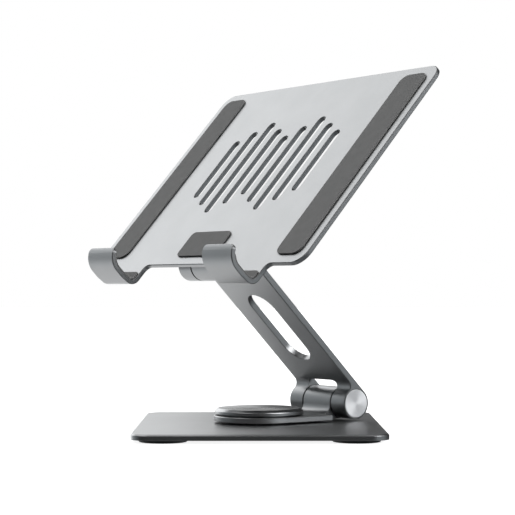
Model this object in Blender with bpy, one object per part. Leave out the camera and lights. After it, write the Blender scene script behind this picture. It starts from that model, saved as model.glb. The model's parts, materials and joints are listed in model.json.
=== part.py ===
"""Swivelling, folding tablet stand: a base plate on feet, a swivel bracket, a slotted arm between
two friction hinges, and a slotted tray with two J-shaped hooks.

Sizes are in millimetres and become metres where meshes are made.

World frame: +Z up, z = 0 on the base plate's underside, the swivel axis is the Z axis, and the
base's front is -Y.
Each part is drawn in the frame of the joint that carries it:
  swivel frame: +X along the hinge axes, +Y to the back, +Z up, turned about world Z.
  arm frame:    origin on the lower hinge axis, +Z along the arm, +Y towards the arm's rear face.
  tray frame:   origin on the upper hinge axis, +Z up the tray, +Y towards the tray's back.
"""

import math

import bmesh
import bpy
from mathutils import Vector

MM = 0.001
FULL_TURN = 2 * math.pi

# Pose at rest, in degrees
SWIVEL_TURN = 35.8
ARM_LEAN = 45.1
TRAY_LEAN = -42.0

# Clearances
SKIN_GAP = 0.1
FIT_GAP = 0.3
RUNNING_GAP = 0.1
SEAM = 0.9

# Base plate and feet
BASE_X = 182.0
BASE_Y = 151.6
BASE_CORNER = 11.0
BASE_CHAMFER = 0.9
BASE_TOP = 3.6
FOOT_RADIUS = 14.5
FOOT_DROP = 2.0
FOOT_X = 73.0
FOOT_Y = 57.0
FOOT_POCKET = 0.6
FOOT_ROUND = 0.8
FOOT_PLACES = {
    "front_left": (-FOOT_X, -FOOT_Y),
    "front_right": (FOOT_X, -FOOT_Y),
    "rear_left": (-FOOT_X, FOOT_Y),
    "rear_right": (FOOT_X, FOOT_Y),
}

# Swivel bearing
STUD_RADIUS = 5.0
STUD_TOP = 10.7
FLANGE_RADIUS = 13.0
FLANGE_THICK = 1.4
THRUST_RADIUS = 24.0
SWIVEL_SPRING_RADIUS = 11.0
SWIVEL_NUT_RADIUS = 9.8
SWIVEL_NUT_HEIGHT = 2.1

# Swivel bracket
BRACKET_TOP = 8.3
BRACKET_DISC = 28.6
TONGUE_END = 38.0
TONGUE_CORNER = 2.0
RECESS_RADIUS = 22.0
RECESS_DEPTH = 1.6
NECK_FILLET = 5.0

# Swivel cap
CAP_LOW = 9.3
CAP_SHOULDER = 11.2
CAP_TOP = 12.9
CAP_RADIUS = 28.0
CAP_FACE_RADIUS = 26.2
CAP_HOLLOW_RADIUS = 18.0
CAP_CEILING = 11.3
SPIGOT_DEPTH = 2.3

# Hinges
HINGE_BACK = 55.8
HINGE_HEIGHT = 14.8
BARREL = 10.0
BRACKET_LOW = HINGE_HEIGHT - BARREL
HALF_WIDTH = 28.56
KNUCKLE_HALF = 14.58
AXLE_RADIUS = 3.5
AXLE_HEAD_RADIUS = 5.5
AXLE_HEAD_THICK = 2.6
SLEEVE_RADIUS = 4.7
POCKET_RADIUS = 6.5
HEAD_POCKET = 6.0
NUT_POCKET = 10.0
END_CAP_RADIUS = 9.1
END_CAP_THICK = 1.2
END_CAP_CHAMFER = 0.35
END_SPIGOT_RADIUS = 6.2
END_SPIGOT_LENGTH = 1.6
SPRING_THICK = 0.8
SPRING_RISE = 0.5
HINGE_NUT_RADIUS = 5.77
HINGE_NUT_LENGTH = 3.0

# Arm
ARM_LENGTH = 124.7
ARM_THICK = 4.1
ARM_FILLET = 4.5
ARM_SLOT_WIDTH = 23.0
ARM_SLOT_LENGTH = 58.8
NOTCH_DEPTH = 14.5
NOTCH_CORNER = 4.5

# Tray
TRAY_FRONT = 15.33
TRAY_THICK = 2.95
TRAY_HALF_WIDTH = 111.6
TRAY_BOTTOM = -13.6
TRAY_TOP = 147.9
TRAY_CORNER = 10.0
SLOT_COUNT = 9
SLOT_PITCH = 13.25
SLOT_WIDTH = 7.0
SLOT_MIDDLE = 72.1
SLOT_SHORTEST = 25.9
SLOT_STEP = 7.25
HOOK_INNER = 50.0
HOOK_OUTER = 80.2
HOOK_ROOT_FILLET = 4.0
HOOK_TIP_CORNER = 3.2
HOOK_STRAIGHT = 10.8
# Each bend of the hook: radius of its middle surface, and turn in degrees
HOOK_BENDS = ((5.0, 82.0), (40.0, 16.0), (11.0, 71.0))
BEND_STEP = 9.0

# Pads
PAD_THICK = 1.05
SIDE_PAD_INNER = 81.9
SIDE_PAD_OUTER = 104.8
PAD_BOTTOM = -7.2
SIDE_PAD_TOP = 140.9
CENTRE_PAD_HALF = 21.0
CENTRE_PAD_TOP = 13.2
PAD_CORNER = 3.6
SIDE_PAD_CORNER = 6.0
LINER_INSET = 1.0
LINER_TOP = 6.6
LINER_TIP_GAP = 5.0
LINER_CORNER = 2.0

# Tray bracket and its screws
PLATE_BACK = 10.4
PLATE_HALF = 19.0
PLATE_BOTTOM = -7.8
PLATE_TOP = 17.0
PLATE_CORNER = 4.0
SCREW_X = 9.0
SCREW_LOW = -5.5
SCREW_HIGH = 10.0
SCREW_RADIUS = 1.5
SCREW_HEAD_RADIUS = 2.8
SCREW_HEAD_DEPTH = 1.5
SCREW_LENGTH = 6.0
SCREW_PLACES = {
    "lower_left": (-SCREW_X, SCREW_LOW),
    "lower_right": (SCREW_X, SCREW_LOW),
    "upper_left": (-SCREW_X, SCREW_HIGH),
    "upper_right": (SCREW_X, SCREW_HIGH),
}

# Chamfers of the arm's, the tray's and the brackets' edges, and of the slots' rims
EDGE_BREAK = 0.45
SLOT_BREAK = 0.3
# How far a cutter runs past the surface it opens
OVERCUT = 1.0
# Points this close, in millimetres, are the same point
MERGE = 1e-5

# Facets of a full turn
CAP_STEPS = 64
ROUND_STEPS = 40
FOOT_STEPS = 32
SMALL_STEPS = 24
SCREW_STEPS = 16


def clear_scene():
    for item in list(bpy.data.objects):
        bpy.data.objects.remove(item)


def make_material(name, colour, roughness, metallic):
    material = bpy.data.materials.new(name)
    material.use_nodes = True
    shader = material.node_tree.nodes["Principled BSDF"]
    shader.inputs["Base Color"].default_value = (*colour, 1.0)
    shader.inputs["Roughness"].default_value = roughness
    shader.inputs["Metallic"].default_value = metallic
    return material


def make_materials():
    return {
        "anodised": make_material("anodised_grey", (0.36, 0.37, 0.38), 0.42, 1.0),
        "silver": make_material("turned_silver", (0.85, 0.85, 0.86), 0.22, 1.0),
        "rubber": make_material("pad_rubber", (0.11, 0.11, 0.11), 0.85, 0.0),
        "foot": make_material("foot_rubber", (0.03, 0.03, 0.03), 0.8, 0.0),
        "steel": make_material("plain_steel", (0.55, 0.55, 0.56), 0.35, 1.0),
        "nylon": make_material("slide_nylon", (0.05, 0.05, 0.055), 0.5, 0.0),
    }


def make_frame(name, location, turn_x=0.0, turn_z=0.0, parent=None):
    """An empty on a joint axis, that carries the parts drawn in its frame."""
    frame = bpy.data.objects.new(name, None)
    bpy.context.scene.collection.objects.link(frame)
    frame.parent = parent
    frame.location = [value * MM for value in location]
    frame.rotation_euler = (math.radians(turn_x), 0.0, math.radians(turn_z))
    return frame


def add_object(name, mesh_data, material, parent):
    bmesh.ops.recalc_face_normals(mesh_data, faces=mesh_data.faces)
    if mesh_data.calc_volume(signed=True) < 0:
        bmesh.ops.reverse_faces(mesh_data, faces=mesh_data.faces)
    bmesh.ops.scale(mesh_data, vec=(MM, MM, MM), verts=mesh_data.verts)
    mesh = bpy.data.meshes.new(name)
    mesh_data.to_mesh(mesh)
    mesh_data.free()
    if material:
        mesh.materials.append(material)
    item = bpy.data.objects.new(name, mesh)
    bpy.context.scene.collection.objects.link(item)
    item.parent = parent
    return item


def arc(centre, radius, start, end, steps):
    """Points of an arc from start to end, in degrees, both ends included."""
    angles = [math.radians(start + (end - start) * i / steps) for i in range(steps + 1)]
    return [
        (centre[0] + radius * math.cos(a), centre[1] + radius * math.sin(a)) for a in angles
    ]


def rounded_rectangle(left, right, low, high, radius, steps=8):
    return (
        arc((right - radius, low + radius), radius, -90, 0, steps)
        + arc((right - radius, high - radius), radius, 0, 90, steps)
        + arc((left + radius, high - radius), radius, 90, 180, steps)
        + arc((left + radius, low + radius), radius, 180, 270, steps)
    )


def upright_slot(middle_x, low, high, width, steps):
    """Outline of a slot with round ends that runs along the second axis."""
    radius = width / 2
    return arc((middle_x, high - radius), radius, 0, 180, steps) + arc(
        (middle_x, low + radius), radius, 180, 360, steps
    )


def placed(point, height, axis):
    """Puts an outline point at a height along the axis that its prism is extruded along."""
    a, b = point
    return {"X": (height, a, b), "Y": (a, height, b), "Z": (a, b, height)}[axis]


def draw_prism(mesh_data, outline, low, high, axis):
    corners = [mesh_data.verts.new(placed(point, low, axis)) for point in outline]
    face = mesh_data.faces.new(corners)
    moved = bmesh.ops.extrude_face_region(mesh_data, geom=[face])["geom"]
    lift = Vector(placed((0.0, 0.0), high - low, axis))
    bmesh.ops.translate(
        mesh_data, vec=lift, verts=[v for v in moved if isinstance(v, bmesh.types.BMVert)]
    )


def break_rims(mesh_data):
    """Chamfers the edges around both ends of a prism whose ends have more than four corners."""
    rims = [edge for edge in mesh_data.edges if any(len(face.verts) > 4 for face in edge.link_faces)]
    bmesh.ops.bevel(
        mesh_data, geom=rims, offset=EDGE_BREAK, offset_type="OFFSET", segments=1, affect="EDGES"
    )


def prism(name, outline, low, high, axis, material, parent):
    mesh_data = bmesh.new()
    draw_prism(mesh_data, outline, low, high, axis)
    return add_object(name, mesh_data, material, parent)


def broken_prism(name, outline, low, high, axis, material, parent):
    """A prism with chamfered rims."""
    mesh_data = bmesh.new()
    draw_prism(mesh_data, outline, low, high, axis)
    break_rims(mesh_data)
    return add_object(name, mesh_data, material, parent)


def draw_slot(mesh_data, middle_x, low, high, width, front, back, steps):
    """Draws a cutter for an upright slot through a sheet, flared at both faces to break its rims."""
    flare = SLOT_BREAK + OVERCUT
    levels = (
        (front - OVERCUT, flare),
        (front + SLOT_BREAK, 0.0),
        (back - SLOT_BREAK, 0.0),
        (back + OVERCUT, flare),
    )
    rings = []
    for y, wider in levels:
        outline = upright_slot(middle_x, low - wider, high + wider, width + 2 * wider, steps)
        rings.append([mesh_data.verts.new((x, y, z)) for x, z in outline])
    for ring, following in zip(rings, rings[1:]):
        for i in range(len(ring)):
            j = (i + 1) % len(ring)
            mesh_data.faces.new((ring[i], ring[j], following[j], following[i]))
    mesh_data.faces.new(rings[0][::-1])
    mesh_data.faces.new(rings[-1])


def turned(name, profile, axis, material, parent, centre=(0.0, 0.0), steps=ROUND_STEPS):
    """A turned part: profile is a closed outline of (radius, height) pairs, spun about the axis."""
    mesh_data = bmesh.new()
    origin = Vector(placed(centre, 0.0, axis))
    along = Vector(placed((0.0, 0.0), 1.0, axis))
    outwards = Vector(placed((1.0, 0.0), 0.0, axis))
    ring = [mesh_data.verts.new(origin + outwards * r + along * h) for r, h in profile]
    closed = list(zip(ring, ring[1:] + ring[:1]))
    edges = [
        mesh_data.edges.new((first, second))
        for first, second in closed
        if (first.co + second.co - 2 * origin).cross(along).length > MERGE
    ]
    bmesh.ops.spin(
        mesh_data,
        geom=ring + edges,
        cent=origin,
        axis=along,
        angle=FULL_TURN,
        steps=steps,
        use_merge=True,
    )
    bmesh.ops.remove_doubles(mesh_data, verts=mesh_data.verts, dist=MERGE)
    return add_object(name, mesh_data, material, parent)


def combine(item, other, operation):
    """Cuts the other object from the item, or joins it to it, and keeps the other out of renders."""
    step = item.modifiers.new(f"{operation.lower()}_{other.name}", "BOOLEAN")
    step.operation = operation
    step.solver = "EXACT"
    step.object = other
    other.hide_render = True
    other.display_type = "WIRE"


def cut(item, other):
    combine(item, other, "DIFFERENCE")


def join(item, other):
    combine(item, other, "UNION")


def rod(name, radius, low, high, axis, parent, centre=(0.0, 0.0), steps=ROUND_STEPS):
    """A plain round bar, used as a cutter."""
    outline = arc(centre, radius, 0, 360 * (steps - 1) / steps, steps - 1)
    return prism(name, outline, low, high, axis, None, parent)


def hexagon(radius):
    return arc((0.0, 0.0), radius, 0, 300, 5)


def ring_profile(inner, outer, low, high):
    return [(inner, low), (outer, low), (outer, high), (inner, high)]


# Base


def make_base_plate(material):
    mesh_data = bmesh.new()
    half_x, half_y = BASE_X / 2, BASE_Y / 2
    edge_height = BASE_TOP - BASE_CHAMFER
    outline = rounded_rectangle(-half_x, half_x, -half_y, half_y, BASE_CORNER)
    draw_prism(mesh_data, outline, 0.0, edge_height, "Z")
    mesh_data.faces.ensure_lookup_table()
    top = max(mesh_data.faces, key=lambda face: face.calc_center_median().z)
    inset = bmesh.ops.extrude_face_region(mesh_data, geom=[top])["geom"]
    bmesh.ops.delete(mesh_data, geom=[top], context="FACES_ONLY")
    for vert in (v for v in inset if isinstance(v, bmesh.types.BMVert)):
        corner_x = half_x - BASE_CORNER
        corner_y = half_y - BASE_CORNER
        centre = Vector((
            max(-corner_x, min(corner_x, vert.co.x)),
            max(-corner_y, min(corner_y, vert.co.y)),
            edge_height,
        ))
        inwards = (vert.co - centre) * (1 - BASE_CHAMFER / BASE_CORNER)
        vert.co = centre + inwards + Vector((0.0, 0.0, BASE_CHAMFER))
    plate = add_object("base_plate", mesh_data, material, None)
    stud_hole = rod("cut_stud_hole", STUD_RADIUS + FIT_GAP, -OVERCUT, BASE_TOP + OVERCUT, "Z", None)
    cut(plate, stud_hole)
    flange_hole = FLANGE_RADIUS + FIT_GAP
    pocket = rod("cut_flange_pocket", flange_hole, -OVERCUT, FLANGE_THICK + SKIN_GAP, "Z", None)
    cut(plate, pocket)
    for place, centre in FOOT_PLACES.items():
        pocket = rod(
            f"cut_pocket_{place}",
            FOOT_RADIUS + FIT_GAP,
            -OVERCUT,
            FOOT_POCKET,
            "Z",
            None,
            centre,
            FOOT_STEPS,
        )
        cut(plate, pocket)


def make_feet(material):
    top = FOOT_POCKET - SKIN_GAP
    rounding = arc((FOOT_RADIUS - FOOT_ROUND, FOOT_ROUND - FOOT_DROP), FOOT_ROUND, -90, 0, 3)
    profile = [(0.0, -FOOT_DROP)] + rounding + [(FOOT_RADIUS, top), (0.0, top)]
    for place, centre in FOOT_PLACES.items():
        turned(f"foot_{place}", profile, "Z", material, None, centre, FOOT_STEPS)


# Swivel bearing


def make_swivel_bearing(steel, nylon):
    stud = [
        (0.0, 0.0),
        (FLANGE_RADIUS, 0.0),
        (FLANGE_RADIUS, FLANGE_THICK),
        (STUD_RADIUS, FLANGE_THICK),
        (STUD_RADIUS, STUD_TOP),
        (0.0, STUD_TOP),
    ]
    turned("swivel_stud", stud, "Z", steel, None)
    hole = STUD_RADIUS + FIT_GAP
    washer = ring_profile(hole, THRUST_RADIUS, BASE_TOP + SKIN_GAP, BRACKET_LOW - SKIN_GAP)
    turned("swivel_thrust_washer", washer, "Z", nylon, None)
    seat = BRACKET_TOP - RECESS_DEPTH + SKIN_GAP
    spring = [
        (hole, seat + SPRING_RISE),
        (SWIVEL_SPRING_RADIUS, seat),
        (SWIVEL_SPRING_RADIUS, seat + SPRING_THICK),
        (hole, seat + SPRING_RISE + SPRING_THICK),
    ]
    turned("swivel_disc_spring", spring, "Z", steel, None)
    nut_top = STUD_TOP - SKIN_GAP
    nut_low = nut_top - SWIVEL_NUT_HEIGHT
    nut = prism("swivel_nut", hexagon(SWIVEL_NUT_RADIUS), nut_low, nut_top, "Z", steel, None)
    thread = rod("cut_swivel_thread", STUD_RADIUS + RUNNING_GAP, 0.0, STUD_TOP + OVERCUT, "Z", None)
    cut(nut, thread)


def neck_outline():
    """Side view of the swivel bracket's neck and knuckle, as (back, up) pairs."""
    axis = (HINGE_BACK, HINGE_HEIGHT)
    fillet_height = BRACKET_TOP + NECK_FILLET
    reach = BARREL + NECK_FILLET
    fillet_back = HINGE_BACK - math.sqrt(reach**2 - (HINGE_HEIGHT - fillet_height) ** 2)
    meeting = math.degrees(math.atan2(fillet_height - HINGE_HEIGHT, fillet_back - HINGE_BACK))
    root = TONGUE_END - 2 * TONGUE_CORNER
    return (
        [(root, BRACKET_LOW)]
        + arc(axis, BARREL, -90, meeting % 360, 30)
        + arc((fillet_back, fillet_height), NECK_FILLET, meeting % 360 - 180, -90, 8)[1:]
        + [(root, BRACKET_TOP)]
    )


def make_swivel_bracket(material, swivel):
    outline = (
        arc((0.0, 0.0), BRACKET_DISC, 180, 360, 28)
        + arc((BRACKET_DISC - TONGUE_CORNER, TONGUE_END - TONGUE_CORNER), TONGUE_CORNER, 0, 90, 4)
        + arc((TONGUE_CORNER - BRACKET_DISC, TONGUE_END - TONGUE_CORNER), TONGUE_CORNER, 90, 180, 4)
    )
    bracket = broken_prism(
        "swivel_bracket", outline, BRACKET_LOW, BRACKET_TOP, "Z", material, swivel
    )
    knuckle_end = KNUCKLE_HALF - SEAM / 2
    neck = broken_prism(
        "add_neck", neck_outline(), -knuckle_end, knuckle_end, "X", material, swivel
    )
    join(bracket, neck)
    recess_floor = BRACKET_TOP - RECESS_DEPTH
    recess = rod("cut_recess", RECESS_RADIUS, recess_floor, BRACKET_TOP + OVERCUT, "Z", swivel)
    cut(bracket, recess)
    stud_hole = rod("cut_swivel_hole", STUD_RADIUS + FIT_GAP, 0.0, BRACKET_TOP, "Z", swivel)
    cut(bracket, stud_hole)
    bore = rod(
        "cut_lower_bore",
        SLEEVE_RADIUS + RUNNING_GAP,
        -HALF_WIDTH,
        HALF_WIDTH,
        "X",
        swivel,
        (HINGE_BACK, HINGE_HEIGHT),
        SMALL_STEPS,
    )
    cut(bracket, bore)


def make_swivel_cap(material, swivel):
    spigot_low = CAP_LOW - SPIGOT_DEPTH
    spigot_radius = RECESS_RADIUS - FIT_GAP
    profile = [
        (0.0, CAP_CEILING),
        (CAP_HOLLOW_RADIUS, CAP_CEILING),
        (CAP_HOLLOW_RADIUS, spigot_low),
        (spigot_radius, spigot_low),
        (spigot_radius, CAP_LOW),
        (CAP_RADIUS, CAP_LOW),
        (CAP_RADIUS, CAP_SHOULDER),
        (CAP_FACE_RADIUS, CAP_TOP),
        (0.0, CAP_TOP),
    ]
    turned("swivel_cap", profile, "Z", material, swivel, steps=CAP_STEPS)


# Hinge hardware, the same in both hinges


def make_hinge_hardware(hinge, frame, steel, nylon, silver):
    """Axle, sleeve, disc springs, nut and end caps of one hinge, along the frame's X axis."""
    knuckle_end = KNUCKLE_HALF - SEAM / 2
    recess_floor = HALF_WIDTH - END_CAP_THICK - SKIN_GAP
    head_seat = -(recess_floor - HEAD_POCKET)
    head_end = head_seat - SKIN_GAP - AXLE_HEAD_THICK
    spring_seat = recess_floor - NUT_POCKET + SKIN_GAP
    axle_end = recess_floor - END_SPIGOT_LENGTH - FIT_GAP
    axle = [
        (0.0, head_end),
        (AXLE_HEAD_RADIUS, head_end),
        (AXLE_HEAD_RADIUS, head_seat - SKIN_GAP),
        (AXLE_RADIUS, head_seat - SKIN_GAP),
        (AXLE_RADIUS, axle_end),
        (0.0, axle_end),
    ]
    turned(f"{hinge}_axle", axle, "X", steel, frame, steps=SMALL_STEPS)
    hole = AXLE_RADIUS + RUNNING_GAP
    sleeve = ring_profile(hole, SLEEVE_RADIUS, -knuckle_end, knuckle_end)
    turned(f"{hinge}_friction_sleeve", sleeve, "X", nylon, frame, steps=SMALL_STEPS)
    rim = POCKET_RADIUS - FIT_GAP
    for place, tilt in (("inner", 1), ("outer", -1)):
        low_rim = spring_seat if tilt > 0 else spring_seat + SPRING_RISE
        low_hole = spring_seat + SPRING_RISE if tilt > 0 else spring_seat
        spring = [
            (hole, low_hole),
            (rim, low_rim),
            (rim, low_rim + SPRING_THICK),
            (hole, low_hole + SPRING_THICK),
        ]
        turned(f"{hinge}_disc_spring_{place}", spring, "X", steel, frame, steps=SMALL_STEPS)
        spring_seat += SPRING_THICK + SPRING_RISE + SKIN_GAP
    nut = prism(
        f"{hinge}_nut",
        hexagon(HINGE_NUT_RADIUS),
        spring_seat,
        spring_seat + HINGE_NUT_LENGTH,
        "X",
        steel,
        frame,
    )
    thread = rod(f"cut_{hinge}_thread", hole, 0.0, HALF_WIDTH, "X", frame, steps=SMALL_STEPS)
    cut(nut, thread)
    for side, sign in (("left", -1), ("right", 1)):
        cap = [
            (0.0, recess_floor - END_SPIGOT_LENGTH),
            (END_SPIGOT_RADIUS, recess_floor - END_SPIGOT_LENGTH),
            (END_SPIGOT_RADIUS, recess_floor + SKIN_GAP),
            (END_CAP_RADIUS, recess_floor + SKIN_GAP),
            (END_CAP_RADIUS, HALF_WIDTH - END_CAP_CHAMFER),
            (END_CAP_RADIUS - END_CAP_CHAMFER, HALF_WIDTH),
            (0.0, HALF_WIDTH),
        ]
        outline = [(r, sign * h) for r, h in cap]
        turned(f"{hinge}_end_cap_{side}", outline, "X", silver, frame)


def cut_hinge_pockets(item, hinge, frame, height):
    """Cuts the axle hole, the head and nut pockets and the cap recesses from the arm's two ears."""
    recess_floor = HALF_WIDTH - END_CAP_THICK - SKIN_GAP
    outside = HALF_WIDTH + OVERCUT
    centre = (0.0, height)
    sizes = {
        "axle_hole": (AXLE_RADIUS + FIT_GAP, -outside, outside, SMALL_STEPS),
        "head_pocket": (POCKET_RADIUS, -outside, -(recess_floor - HEAD_POCKET), SMALL_STEPS),
        "nut_pocket": (POCKET_RADIUS, recess_floor - NUT_POCKET, outside, SMALL_STEPS),
        "left_recess": (END_CAP_RADIUS + RUNNING_GAP, -outside, -recess_floor, ROUND_STEPS),
        "right_recess": (END_CAP_RADIUS + RUNNING_GAP, recess_floor, outside, ROUND_STEPS),
    }
    for name, (radius, low, high, steps) in sizes.items():
        cut(item, rod(f"cut_{hinge}_{name}", radius, low, high, "X", frame, centre, steps))


# Arm


def arm_outline():
    """Side view of the arm: a plate that is tangent to both barrels on its rear side."""
    front = BARREL - ARM_THICK
    offset = front - ARM_FILLET
    reach = BARREL + ARM_FILLET
    fillet_height = math.sqrt(reach**2 - offset**2)
    meeting = math.degrees(math.atan2(fillet_height, offset))
    top = ARM_LENGTH - fillet_height
    return (
        arc((0.0, 0.0), BARREL, 0, meeting - 360, 40)
        + arc((offset, fillet_height), ARM_FILLET, meeting - 180, 0, 6)[1:]
        + arc((offset, top), ARM_FILLET, 0, 180 - meeting, 6)
        + arc((0.0, ARM_LENGTH), BARREL, 360 - meeting, 0, 40)[1:]
    )


def make_arm(material, frame):
    arm = broken_prism("arm", arm_outline(), -HALF_WIDTH, HALF_WIDTH, "X", material, frame)
    slot_low = (ARM_LENGTH - ARM_SLOT_LENGTH) / 2
    slot_high = ARM_LENGTH - slot_low
    slot = bmesh.new()
    draw_slot(slot, 0.0, slot_low, slot_high, ARM_SLOT_WIDTH, BARREL - ARM_THICK, BARREL, 12)
    cut(arm, add_object("cut_arm_slot", slot, None, frame))
    notch_half = KNUCKLE_HALF + SEAM / 2
    outside = 2 * BARREL
    low_notch = rounded_rectangle(-notch_half, notch_half, -outside, NOTCH_DEPTH, NOTCH_CORNER, 5)
    high_notch = [(x, ARM_LENGTH - z) for x, z in reversed(low_notch)]
    cut(arm, prism("cut_lower_notch", low_notch, -outside, outside, "Y", None, frame))
    cut(arm, prism("cut_upper_notch", high_notch, -outside, outside, "Y", None, frame))
    cut_hinge_pockets(arm, "lower", frame, 0.0)
    cut_hinge_pockets(arm, "upper", frame, ARM_LENGTH)


# Tray


def hook_stations():
    """Lengths below the tray's bottom edge at which the hook's sheet is creased to follow its bends."""
    stations = [HOOK_STRAIGHT]
    for radius, turn in HOOK_BENDS:
        steps = max(1, round(turn / BEND_STEP))
        length = radius * math.radians(turn)
        start = stations[-1]
        stations += [start + length * (i + 1) / steps for i in range(steps)]
    return stations


def bent(x, along, offset):
    """Maps a point of the flat sheet to the bent one, in the tray frame.

    along is the distance below the tray's bottom edge, and offset the distance in front of the
    sheet's middle surface."""
    middle = Vector((-TRAY_FRONT + TRAY_THICK / 2, TRAY_BOTTOM))
    if along <= HOOK_STRAIGHT:
        return (x, middle.x - offset, middle.y - along)
    heading = 0.0
    place = middle + Vector((0.0, -HOOK_STRAIGHT))
    left = along - HOOK_STRAIGHT
    for radius, turn in HOOK_BENDS:
        share = min(math.radians(turn), left / radius)
        # The bend's centre lies on the front side of the sheet.
        to_centre = Vector((-math.cos(heading), math.sin(heading)))
        centre = place + to_centre * radius
        heading += share
        to_centre = Vector((-math.cos(heading), math.sin(heading)))
        place = centre - to_centre * radius
        left -= share * radius
        if left <= 0:
            break
    place = place + to_centre * offset
    return (x, place.x, place.y)


def bend_sheet(mesh_data, stations):
    """Creases a flat sheet drawn as (x, offset, -along) and bends it."""
    for station in stations:
        bmesh.ops.bisect_plane(
            mesh_data,
            geom=mesh_data.verts[:] + mesh_data.edges[:] + mesh_data.faces[:],
            plane_co=(0.0, 0.0, -station),
            plane_no=(0.0, 0.0, 1.0),
            dist=MERGE,
        )
    for vert in mesh_data.verts:
        vert.co = bent(vert.co.x, -vert.co.z, vert.co.y)


def hook_edge(side):
    """Outline of one hook's flat strip, from its outer root to its inner one, as (x, z) pairs."""
    fillet, tip = HOOK_ROOT_FILLET, HOOK_TIP_CORNER
    end = tip - hook_stations()[-1]
    edge = (
        arc((HOOK_OUTER + fillet, -fillet), fillet, 90, 180, 5)
        + arc((HOOK_OUTER - tip, end), tip, 0, -90, 5)
        + arc((HOOK_INNER + tip, end), tip, -90, -180, 5)
        + arc((HOOK_INNER - fillet, -fillet), fillet, 0, 90, 5)
    )
    return edge if side > 0 else [(-x, z) for x, z in reversed(edge)]


def tray_outline():
    height = TRAY_TOP - TRAY_BOTTOM
    inner_x = TRAY_HALF_WIDTH - TRAY_CORNER
    return (
        arc((inner_x, height - TRAY_CORNER), TRAY_CORNER, 90, 0, 8)
        + arc((inner_x, TRAY_CORNER), TRAY_CORNER, 0, -90, 8)
        + hook_edge(1)
        + hook_edge(-1)
        + arc((-inner_x, TRAY_CORNER), TRAY_CORNER, -90, -180, 8)
        + arc((-inner_x, height - TRAY_CORNER), TRAY_CORNER, 180, 90, 8)
    )


def slot_half_length(index):
    """The slots' ends rise and fall in a zigzag that repeats every four slots."""
    return SLOT_SHORTEST + SLOT_STEP * (2 - abs(2 - index % 4))


def make_tray(material, frame):
    mesh_data = bmesh.new()
    half = TRAY_THICK / 2
    draw_prism(mesh_data, tray_outline(), -half, half, "Y")
    break_rims(mesh_data)
    bend_sheet(mesh_data, hook_stations()[:-1])
    tray = add_object("tray", mesh_data, material, frame)
    slots = bmesh.new()
    back = -TRAY_FRONT + TRAY_THICK
    for index in range(SLOT_COUNT):
        x = (index - (SLOT_COUNT - 1) / 2) * SLOT_PITCH
        reach = slot_half_length(index)
        low, high = SLOT_MIDDLE - reach, SLOT_MIDDLE + reach
        draw_slot(slots, x, low, high, SLOT_WIDTH, -TRAY_FRONT, back, 8)
    cut(tray, add_object("cut_slots", slots, None, frame))
    for place, centre in SCREW_PLACES.items():
        hole = screw_profile(FIT_GAP, OVERCUT, OVERCUT)
        cut(tray, turned(f"cut_tray_hole_{place}", hole, "Y", None, frame, centre, SCREW_STEPS))


def screw_profile(gap, above, below):
    """A countersunk screw's profile about Y, or with a gap that of the hole that it sits in."""
    face = -TRAY_FRONT + SKIN_GAP
    head = SCREW_HEAD_RADIUS + gap
    shank = SCREW_RADIUS + gap
    end = face + SCREW_LENGTH + below
    return [
        (0.0, face - above),
        (head, face - above),
        (head, face + SKIN_GAP),
        (shank, face + SCREW_HEAD_DEPTH),
        (shank, end),
        (0.0, end),
    ]


def make_screws(material, frame):
    for place, centre in SCREW_PLACES.items():
        profile = screw_profile(0.0, 0.0, 0.0)
        turned(f"bracket_screw_{place}", profile, "Y", material, frame, centre, SCREW_STEPS)


def tray_neck_outline():
    """Side view of the tray bracket's knuckle and neck, as (back, up) pairs."""
    plate_front = -TRAY_FRONT + TRAY_THICK + SKIN_GAP
    offset = ARM_FILLET - PLATE_BACK
    reach = BARREL + ARM_FILLET
    fillet_height = math.sqrt(reach**2 - offset**2)
    meeting = math.degrees(math.atan2(fillet_height, offset))
    below = -math.sqrt(BARREL**2 - PLATE_BOTTOM**2)
    start = math.degrees(math.atan2(PLATE_BOTTOM, below))
    return (
        [(plate_front, PLATE_BOTTOM)]
        + arc((0.0, 0.0), BARREL, start, meeting, 30)
        + arc((offset, fillet_height), ARM_FILLET, meeting - 180, -180, 6)[1:]
        + [(plate_front, fillet_height)]
    )


def make_tray_bracket(material, frame):
    plate_front = -TRAY_FRONT + TRAY_THICK + SKIN_GAP
    outline = rounded_rectangle(
        -PLATE_HALF, PLATE_HALF, PLATE_BOTTOM, PLATE_TOP, PLATE_CORNER, 4
    )
    bracket = broken_prism(
        "tray_bracket", outline, plate_front, -PLATE_BACK, "Y", material, frame
    )
    knuckle_end = KNUCKLE_HALF - SEAM / 2
    knuckle = broken_prism(
        "add_knuckle", tray_neck_outline(), -knuckle_end, knuckle_end, "X", material, frame
    )
    join(bracket, knuckle)
    bore_radius = SLEEVE_RADIUS + RUNNING_GAP
    bore = rod(
        "cut_upper_bore", bore_radius, -HALF_WIDTH, HALF_WIDTH, "X", frame, steps=SMALL_STEPS
    )
    cut(bracket, bore)
    for place, centre in SCREW_PLACES.items():
        end = -TRAY_FRONT + SKIN_GAP + SCREW_LENGTH + FIT_GAP
        hole = rod(
            f"cut_screw_hole_{place}",
            SCREW_RADIUS + RUNNING_GAP,
            -TRAY_FRONT,
            end,
            "Y",
            frame,
            centre,
            SCREW_STEPS,
        )
        cut(bracket, hole)


# Pads


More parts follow.
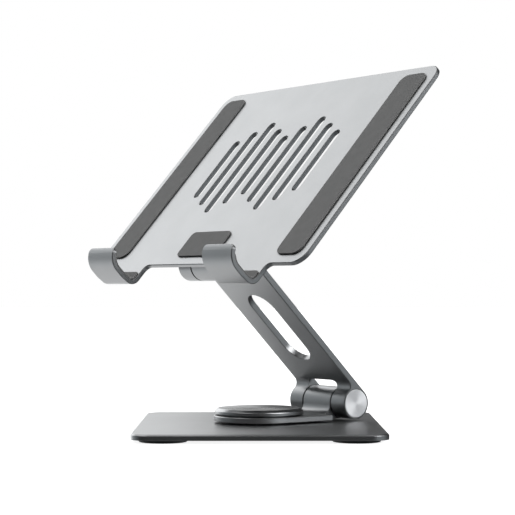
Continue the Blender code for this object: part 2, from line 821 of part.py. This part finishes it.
def make_pads(material, frame):
    face = -TRAY_FRONT
    areas = {
        "side_pad_left": (-SIDE_PAD_OUTER, -SIDE_PAD_INNER, SIDE_PAD_TOP, SIDE_PAD_CORNER),
        "side_pad_right": (SIDE_PAD_INNER, SIDE_PAD_OUTER, SIDE_PAD_TOP, SIDE_PAD_CORNER),
        "centre_pad": (-CENTRE_PAD_HALF, CENTRE_PAD_HALF, CENTRE_PAD_TOP, PAD_CORNER),
    }
    for name, (left, right, top, corner) in areas.items():
        outline = rounded_rectangle(left, right, PAD_BOTTOM, top, corner, 5)
        prism(name, outline, face - PAD_THICK, face - SKIN_GAP, "Y", material, frame)


def make_hook_liners(material, frame):
    back = TRAY_THICK / 2 + SKIN_GAP
    front = TRAY_THICK / 2 + PAD_THICK
    end = LINER_TIP_GAP - hook_stations()[-1]
    half = (HOOK_OUTER - HOOK_INNER) / 2 - LINER_INSET
    for name, middle in (
        ("hook_liner_left", -(HOOK_INNER + HOOK_OUTER) / 2),
        ("hook_liner_right", (HOOK_INNER + HOOK_OUTER) / 2),
    ):
        left, right = middle - half, middle + half
        outline = rounded_rectangle(left, right, end, -LINER_TOP, LINER_CORNER, 3)
        mesh_data = bmesh.new()
        draw_prism(mesh_data, outline, back, front, "Y")
        bend_sheet(mesh_data, hook_stations()[:-1])
        add_object(name, mesh_data, material, frame)


def main():
    clear_scene()
    materials = make_materials()
    metal, silver, rubber = materials["anodised"], materials["silver"], materials["rubber"]
    steel, nylon = materials["steel"], materials["nylon"]
    swivel = make_frame("swivel_axis", (0.0, 0.0, 0.0), turn_z=SWIVEL_TURN)
    lower = make_frame("lower_hinge_axis", (0.0, HINGE_BACK, HINGE_HEIGHT), ARM_LEAN, 0.0, swivel)
    upper = make_frame("upper_hinge_axis", (0.0, 0.0, ARM_LENGTH), TRAY_LEAN - ARM_LEAN, 0.0, lower)
    make_base_plate(metal)
    make_feet(materials["foot"])
    make_swivel_bearing(steel, nylon)
    make_swivel_bracket(metal, swivel)
    make_swivel_cap(metal, swivel)
    make_hinge_hardware("lower", lower, steel, nylon, silver)
    make_arm(metal, lower)
    make_hinge_hardware("upper", upper, steel, nylon, silver)
    make_tray_bracket(metal, upper)
    make_tray(metal, upper)
    make_screws(steel, upper)
    make_pads(rubber, upper)
    make_hook_liners(rubber, upper)
    bpy.context.view_layer.update()


main()
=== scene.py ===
"""Looks of the tablet stand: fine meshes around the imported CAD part, with rounded or chamfered
edges, procedural materials, a pale studio and the camera.

Sizes are in metres unless a name or comment says millimetres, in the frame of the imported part:
+Z up, and the swivel axis is the Z axis."""

import json
import math

import bmesh
import bpy
from mathutils import Matrix, Vector


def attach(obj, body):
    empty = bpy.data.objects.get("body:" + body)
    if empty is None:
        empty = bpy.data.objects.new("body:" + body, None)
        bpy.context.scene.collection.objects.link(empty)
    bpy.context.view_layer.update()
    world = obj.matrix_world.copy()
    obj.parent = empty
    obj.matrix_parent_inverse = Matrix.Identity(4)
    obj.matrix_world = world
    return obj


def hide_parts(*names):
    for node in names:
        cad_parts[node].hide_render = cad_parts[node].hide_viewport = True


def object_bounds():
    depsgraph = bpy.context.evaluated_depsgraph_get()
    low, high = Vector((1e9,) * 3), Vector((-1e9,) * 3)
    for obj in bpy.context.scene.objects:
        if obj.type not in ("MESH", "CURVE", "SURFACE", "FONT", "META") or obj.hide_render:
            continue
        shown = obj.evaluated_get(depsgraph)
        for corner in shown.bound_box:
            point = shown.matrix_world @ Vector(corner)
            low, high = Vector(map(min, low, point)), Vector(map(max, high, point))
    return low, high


MM = 0.001

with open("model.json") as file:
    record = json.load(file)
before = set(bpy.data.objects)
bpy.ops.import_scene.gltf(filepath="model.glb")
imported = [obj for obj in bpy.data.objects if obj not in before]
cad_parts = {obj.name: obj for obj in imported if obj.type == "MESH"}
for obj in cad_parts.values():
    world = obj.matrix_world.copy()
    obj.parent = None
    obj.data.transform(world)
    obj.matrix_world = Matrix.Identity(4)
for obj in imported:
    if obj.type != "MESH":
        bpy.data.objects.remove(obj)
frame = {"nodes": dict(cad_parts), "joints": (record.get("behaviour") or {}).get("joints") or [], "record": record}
cad_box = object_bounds()

# Camera, at the photograph's viewing angle. The lens is in millimetres.
CAMERA_PLACE = (1.0936, -0.0055, 0.0898)
CAMERA_HEADING = (-0.99986, 0.00407, 0.01634)
CAMERA_LENS = 120.93
CAMERA_NEAR = 0.01

# Mesh clean-up: vertices nearer than WELD are joined, faces flatter than FLAT_ANGLE are merged,
# and edges sharper than EDGE_ANGLE are corners
WELD = 1e-7
FLAT_ANGLE = math.radians(0.3)
EDGE_ANGLE = math.radians(28)

# How far each visible piece's corners are rounded back, in millimetres. A piece with none has
# its chamfers in the CAD solid, and keeps its corners sharp.
ROUNDING = {
    "base_plate": 0.15,
    "swivel_bracket": 0.0,
    "swivel_cap": 0.25,
    "arm": 0.0,
    "tray": 0.0,
    "tray_bracket": 0.0,
    "side_pad_left": 0.25,
    "side_pad_right": 0.25,
    "centre_pad": 0.25,
    "hook_liner_left": 0.1,
    "hook_liner_right": 0.1,
    "foot_front_left": 0.15,
    "foot_front_right": 0.15,
    "foot_rear_left": 0.15,
    "foot_rear_right": 0.15,
    "lower_end_cap_left": 0.099,
    "lower_end_cap_right": 0.099,
    "upper_end_cap_left": 0.099,
    "upper_end_cap_right": 0.099,
}
ROUNDING_SEGMENTS = 3
# How strongly large faces hold the shading normals, out of 100
FLATNESS = 100


# Node helpers


def new_material(name):
    material = bpy.data.materials.new(name)
    material.use_nodes = True
    return material, material.node_tree.nodes, material.node_tree.links


def add_node(nodes, kind, inputs=None, **settings):
    """A new node with the given input values and settings."""
    node = nodes.new(kind)
    for name, value in settings.items():
        setattr(node, name, value)
    for name, value in (inputs or {}).items():
        node.inputs[name].default_value = value
    return node


def map_range(nodes, links, value, old, new, interpolation="LINEAR"):
    """Maps a value from the range old to the range new."""
    ends = {"From Min": old[0], "From Max": old[1], "To Min": new[0], "To Max": new[1]}
    mapped = add_node(nodes, "ShaderNodeMapRange", ends, interpolation_type=interpolation)
    links.new(value, mapped.inputs["Value"])
    return mapped


# Most of a noise texture's values fall in this range
NOISE_RANGE = (0.3, 0.7)


def noise(nodes, links, size_mm, detail):
    """Noise in object coordinates whose grains are about size_mm across."""
    coordinates = add_node(nodes, "ShaderNodeTexCoord")
    values = {"Scale": 1 / (size_mm * MM), "Detail": detail}
    texture = add_node(nodes, "ShaderNodeTexNoise", values)
    links.new(coordinates.outputs["Object"], texture.inputs["Vector"])
    return texture.outputs["Fac"]


def colour_between(nodes, links, value, low, high):
    mixer = add_node(nodes, "ShaderNodeMix", data_type="RGBA")
    mixer.inputs["A"].default_value = (*low, 1.0)
    mixer.inputs["B"].default_value = (*high, 1.0)
    links.new(value, mixer.inputs["Factor"])
    return mixer.outputs["Result"]


def mottled(nodes, links, low, high, size_mm, detail):
    """A colour that wanders between two tones, over patches about size_mm across."""
    patches = noise(nodes, links, size_mm, detail)
    tone = map_range(nodes, links, patches, NOISE_RANGE, (0.0, 1.0))
    return colour_between(nodes, links, tone.outputs["Result"], low, high)


def roughen(nodes, links, value, middle, swing):
    """Lets a noise value move the shader's roughness by up to swing each way."""
    ends = (middle - swing, middle + swing)
    rough = map_range(nodes, links, value, NOISE_RANGE, ends)
    links.new(rough.outputs["Result"], nodes["Principled BSDF"].inputs["Roughness"])


def bump(nodes, links, height, depth_mm, strength):
    """Lets a noise value raise the shader's surface."""
    values = {"Distance": depth_mm * MM, "Strength": strength}
    shaper = add_node(nodes, "ShaderNodeBump", values)
    links.new(height, shaper.inputs["Height"])
    links.new(shaper.outputs["Normal"], nodes["Principled BSDF"].inputs["Normal"])


# Materials

# Reach of the painted shade in the seams between pieces, in millimetres, and its rays
SEAM_SHADE = 1.2
SEAM_RAYS = 8
# How much rubber reflects, and how dark steel is in its tool marks, as shares
RUBBER_SHINE = 0.3
TOOL_MARK_SHADE = 0.8


def anodised(name, low, high, roughness):
    """Bead-blasted, anodised aluminium: a fine grain over slow, faint changes of tone, with painted
    shade that darkens the colour in the narrow seams between the pieces."""
    material, nodes, links = new_material(name)
    shader = nodes["Principled BSDF"]
    shader.inputs["Metallic"].default_value = 1.0
    reach = {"Distance": SEAM_SHADE * MM}
    # Painted shade: ambient occlusion darkens the base colour in seams and crevices
    painted_seam_shade = add_node(nodes, "ShaderNodeAmbientOcclusion", reach, samples=SEAM_RAYS)
    tones = mottled(nodes, links, low, high, size_mm=22.0, detail=3.0)
    links.new(tones, painted_seam_shade.inputs["Color"])
    links.new(painted_seam_shade.outputs["Color"], shader.inputs["Base Color"])
    grain = noise(nodes, links, size_mm=0.35, detail=3.0)
    roughen(nodes, links, grain, roughness, swing=0.03)
    bump(nodes, links, grain, depth_mm=0.012, strength=0.5)
    return material


def spun(name, colour, roughness, anisotropy, groove_mm):
    """Metal turned on a lathe: fine circular grooves about the object's own Z axis."""
    material, nodes, links = new_material(name)
    shader = nodes["Principled BSDF"]
    shader.inputs["Metallic"].default_value = 1.0
    shader.inputs["Base Color"].default_value = (*colour, 1.0)
    shader.inputs["Anisotropic"].default_value = anisotropy
    tangent = add_node(nodes, "ShaderNodeTangent", direction_type="RADIAL", axis="Z")
    links.new(tangent.outputs["Tangent"], shader.inputs["Tangent"])
    coordinates = add_node(nodes, "ShaderNodeTexCoord")
    split = add_node(nodes, "ShaderNodeSeparateXYZ")
    links.new(coordinates.outputs["Object"], split.inputs["Vector"])
    flat = add_node(nodes, "ShaderNodeCombineXYZ")
    links.new(split.outputs["X"], flat.inputs["X"])
    links.new(split.outputs["Y"], flat.inputs["Y"])
    radius = add_node(nodes, "ShaderNodeVectorMath", operation="LENGTH")
    links.new(flat.outputs["Vector"], radius.inputs[0])
    values = {"Scale": 1 / (groove_mm * MM), "Detail": 3.0}
    rings = add_node(nodes, "ShaderNodeTexNoise", values, noise_dimensions="1D")
    links.new(radius.outputs["Value"], rings.inputs["W"])
    roughen(nodes, links, rings.outputs["Fac"], roughness, swing=0.05)
    return material


def rubber(name, low, high, roughness, grain_mm):
    """Matt moulded rubber with a fine skin."""
    material, nodes, links = new_material(name)
    shader = nodes["Principled BSDF"]
    shader.inputs["Specular IOR Level"].default_value = RUBBER_SHINE
    tones = mottled(nodes, links, low, high, size_mm=6.0, detail=4.0)
    links.new(tones, shader.inputs["Base Color"])
    grain = noise(nodes, links, grain_mm, detail=3.0)
    roughen(nodes, links, grain, roughness, swing=0.06)
    bump(nodes, links, grain, depth_mm=0.03, strength=0.5)
    return material


def machined(name, colour, roughness):
    """Plain machined steel with faint tool marks."""
    material, nodes, links = new_material(name)
    shader = nodes["Principled BSDF"]
    shader.inputs["Metallic"].default_value = 1.0
    marks = noise(nodes, links, size_mm=0.8, detail=5.0)
    darker = tuple(TOOL_MARK_SHADE * value for value in colour)
    links.new(colour_between(nodes, links, marks, darker, colour), shader.inputs["Base Color"])
    roughen(nodes, links, marks, roughness, swing=0.08)
    bump(nodes, links, marks, depth_mm=0.02, strength=0.4)
    return material


MATERIALS = {
    "anodised_aluminium": anodised(
        "anodised", low=(0.40, 0.405, 0.41), high=(0.425, 0.43, 0.435), roughness=0.36
    ),
    "turned_aluminium": spun(
        "turned_silver", (0.93, 0.93, 0.94), roughness=0.68, anisotropy=0.4, groove_mm=0.12
    ),
    "pad_rubber": rubber(
        "pad_rubber", (0.205, 0.203, 0.201), (0.225, 0.223, 0.22), roughness=0.7, grain_mm=0.25
    ),
    "foot_rubber": rubber(
        "foot_rubber", (0.055, 0.055, 0.055), (0.075, 0.075, 0.075), roughness=0.6, grain_mm=0.3
    ),
    "plain_steel": machined("plain_steel", (0.56, 0.56, 0.57), roughness=0.35),
    "slide_nylon": rubber(
        "slide_nylon", (0.03, 0.03, 0.032), (0.042, 0.042, 0.045), roughness=0.45, grain_mm=0.4
    ),
}
SPUN_GREY = spun(
    "spun_grey", (0.42, 0.425, 0.43), roughness=0.27, anisotropy=0.4, groove_mm=0.15
)


# Pieces

RECORD = frame["record"]
SLOT_OF = {part["node"]: part["material_slot"] for part in RECORD["subparts"]}
BODY_OF = {node: body for body, nodes in RECORD["behaviour"]["bodies"].items() for node in nodes}
JOINTS = {joint["name"]: joint for joint in frame["joints"]}


def hinge_matrix(hinge):
    """A frame on a hinge whose Z axis is the hinge's axis."""
    turn = Vector(hinge["axis"]).to_track_quat("Z", "Y").to_matrix().to_4x4()
    return Matrix.Translation(Vector(hinge["pos_m"])) @ turn


def corners_of(shape):
    """The edges where two faces meet at more than EDGE_ANGLE."""
    return [e for e in shape.edges if e.is_manifold and e.calc_face_angle() > EDGE_ANGLE]


def keep_sharp(shape):
    """Keeps the corners sharp on a piece that already has its chamfers."""
    for edge in corners_of(shape):
        edge.smooth = False


def mark_to_round(shape):
    """Marks the corners for the rounding modifier."""
    weight = shape.edges.layers.float.new("bevel_weight_edge")
    for edge in corners_of(shape):
        edge[weight] = 1.0


def finished(node, place):
    """A fine copy of a CAD node, whose own frame is place: flat areas made whole, corners
    rounded or kept sharp, and shaded smooth."""
    shape = bmesh.new()
    shape.from_mesh(frame["nodes"][node].data)
    bmesh.ops.remove_doubles(shape, verts=shape.verts, dist=WELD)
    bmesh.ops.dissolve_limit(
        shape, angle_limit=FLAT_ANGLE, verts=shape.verts, edges=shape.edges, delimit=set()
    )
    if ROUNDING[node]:
        mark_to_round(shape)
    else:
        keep_sharp(shape)
    mesh = bpy.data.meshes.new(f"{node}_finished")
    shape.to_mesh(mesh)
    shape.free()
    if "custom_normal" in mesh.attributes:
        mesh.attributes.remove(mesh.attributes["custom_normal"])
    mesh.transform(place.inverted())
    mesh.materials.clear()
    mesh.materials.append(MATERIALS[SLOT_OF[node]])
    mesh.shade_smooth()
    piece = bpy.data.objects.new(f"{node}_finished", mesh)
    bpy.context.scene.collection.objects.link(piece)
    piece.matrix_world = place
    if ROUNDING[node]:
        bevel = piece.modifiers.new("rounding", "BEVEL")
        bevel.width = ROUNDING[node] * MM
        bevel.segments = ROUNDING_SEGMENTS
        bevel.limit_method = "WEIGHT"
        bevel.use_clamp_overlap = False
        bevel.loop_slide = False
        bevel.miter_outer = "MITER_ARC"
    normals = piece.modifiers.new("flat_faces", "WEIGHTED_NORMAL")
    normals.weight = FLATNESS
    normals.keep_sharp = not ROUNDING[node]
    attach(piece, BODY_OF[node])
    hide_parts(node)
    return piece


def make_pieces():
    for node in ROUNDING:
        place = Matrix.Identity(4)
        if "end_cap" in node:
            place = hinge_matrix(JOINTS["lower_hinge" if "lower" in node else "upper_hinge"])
        piece = finished(node, place)
        if node == "swivel_cap":
            piece.data.materials[0] = SPUN_GREY
    for node, item in frame["nodes"].items():
        item.data.materials.clear()
        item.data.materials.append(MATERIALS[SLOT_OF[node]])


# Studio

# Soft round lights in the world's background: direction, colour, strength, and the angles in
# degrees from their middle to the end of full strength and to the end of the fade
COOL = (0.86, 0.95, 1.0)
WHITE = (0.985, 0.995, 1.0)
SOFT_LIGHTS = {
    "key": ((-0.714, -0.519, 0.469), WHITE, 0.60, 8.0, 28.0),
    "back": ((-0.90, -0.364, 0.242), WHITE, 1.35, 24.0, 42.0),
    "bounce": ((-0.70, -0.42, -0.57), WHITE, 0.90, 16.0, 52.0),
    "left": ((-0.30, -0.95, 0.10), COOL, 0.28, 18.0, 48.0),
    "right": ((0.33, 0.94, 0.0), COOL, 0.24, 16.0, 50.0),
    "top": ((-0.15, -0.28, 0.95), WHITE, 1.2, 10.0, 32.0),
    "right_top": ((0.42, 0.68, 0.60), WHITE, 6.2, 8.0, 26.0),
    "front_left": ((0.50, -0.50, 0.71), WHITE, 0.9, 10.0, 26.0),
    "floor": ((0.35, 0.1, -0.93), COOL, 0.16, 20.0, 50.0),
}
# The back light ends at an upright edge straight behind the stand: it fades out between these
# sideways parts of the direction
BACK_EDGE = (0.026, -0.05)
AMBIENT = (0.03, 0.03, 0.03)
# Share of the light that reaches a surface seen in another one's reflection, and the ray depths
# between which the light falls to it
INNER_LIGHT = 0.4
INNER_DEPTHS = (2.0, 3.0)


def round_light(nodes, links, directions, middle, strength, full, fade):
    """Strength of a round light in each direction: it fades out at its rim."""
    along = add_node(nodes, "ShaderNodeVectorMath", operation="DOT_PRODUCT")
    along.inputs[1].default_value = Vector(middle).normalized()
    links.new(directions, along.inputs[0])
    rim = (math.cos(math.radians(fade)), math.cos(math.radians(full)))
    return map_range(nodes, links, along.outputs["Value"], rim, (0.0, strength), "SMOOTHSTEP")


def cut_at_edge(nodes, links, directions, light, strength):
    """Fades a light out sideways, between the two ends of BACK_EDGE."""
    parts = add_node(nodes, "ShaderNodeSeparateXYZ")
    links.new(directions, parts.inputs["Vector"])
    sideways = parts.outputs["Y"]
    edge = map_range(nodes, links, sideways, BACK_EDGE, (0.0, strength), "SMOOTHSTEP")
    links.new(edge.outputs["Result"], light.inputs["To Max"])


def make_world():
    """The soft lights, behind a white backdrop that only the camera sees."""
    world = bpy.data.worlds.new("studio")
    bpy.context.scene.world = world
    world.use_nodes = True
    nodes, links = world.node_tree.nodes, world.node_tree.links
    nodes.clear()
    directions = add_node(nodes, "ShaderNodeTexCoord").outputs["Generated"]
    ambient = dict(zip("XYZ", AMBIENT))
    total = add_node(nodes, "ShaderNodeCombineXYZ", ambient).outputs["Vector"]
    for name, (middle, colour, strength, full, fade) in SOFT_LIGHTS.items():
        light = round_light(nodes, links, directions, middle, strength, full, fade)
        if name == "back":
            cut_at_edge(nodes, links, directions, light, strength)
        tinted = add_node(nodes, "ShaderNodeVectorMath", {0: colour}, operation="SCALE")
        links.new(light.outputs["Result"], tinted.inputs["Scale"])
        adder = add_node(nodes, "ShaderNodeVectorMath", operation="ADD")
        links.new(total, adder.inputs[0])
        links.new(tinted.outputs["Vector"], adder.inputs[1])
        total = adder.outputs["Vector"]
    path = add_node(nodes, "ShaderNodeLightPath")
    level = map_range(nodes, links, path.outputs["Ray Depth"], INNER_DEPTHS, (1.0, INNER_LIGHT))
    lights = add_node(nodes, "ShaderNodeBackground")
    links.new(total, lights.inputs["Color"])
    links.new(level.outputs["Result"], lights.inputs["Strength"])
    backdrop = add_node(nodes, "ShaderNodeBackground", {"Color": (1.0, 1.0, 1.0, 1.0)})
    mixer = add_node(nodes, "ShaderNodeMixShader")
    output = add_node(nodes, "ShaderNodeOutputWorld")
    links.new(path.outputs["Is Camera Ray"], mixer.inputs["Fac"])
    links.new(lights.outputs["Background"], mixer.inputs[1])
    links.new(backdrop.outputs["Background"], mixer.inputs[2])
    links.new(mixer.outputs["Shader"], output.inputs["Surface"])


FLOOR_SIZE = 12.0
FLOOR_COLOUR = (0.8, 0.8, 0.8, 1.0)
FLOOR_GLOW = 0.86


def make_floor():
    """A pale floor that only the camera sees, glowing so that it stays even."""
    shape = bmesh.new()
    bmesh.ops.create_grid(shape, x_segments=2, y_segments=2, size=FLOOR_SIZE / 2)
    mesh = bpy.data.meshes.new("floor")
    shape.to_mesh(mesh)
    shape.free()
    floor = bpy.data.objects.new("floor", mesh)
    bpy.context.scene.collection.objects.link(floor)
    floor.location.z = cad_box[0].z
    material, nodes, links = new_material("pale_floor")
    nodes.clear()
    cloth = add_node(nodes, "ShaderNodeBsdfDiffuse", {"Color": FLOOR_COLOUR})
    glow = add_node(nodes, "ShaderNodeEmission", {"Strength": FLOOR_GLOW})
    both = add_node(nodes, "ShaderNodeAddShader")
    output = add_node(nodes, "ShaderNodeOutputMaterial")
    links.new(cloth.outputs["BSDF"], both.inputs[0])
    links.new(glow.outputs["Emission"], both.inputs[1])
    links.new(both.outputs["Shader"], output.inputs["Surface"])
    mesh.materials.append(material)
    floor.visible_glossy = False
    floor.visible_diffuse = False


def make_camera():
    data = bpy.data.cameras.new("camera")
    data.lens = CAMERA_LENS
    data.clip_start = CAMERA_NEAR
    camera = bpy.data.objects.new("camera", data)
    bpy.context.scene.collection.objects.link(camera)
    camera.location = CAMERA_PLACE
    camera.rotation_mode = "QUATERNION"
    camera.rotation_quaternion = Vector(CAMERA_HEADING).to_track_quat("-Z", "Y")
    bpy.context.scene.camera = camera


make_pieces()
make_world()
make_floor()
make_camera()
bpy.context.scene.view_settings.view_transform = "Standard"

bpy.context.view_layer.update()
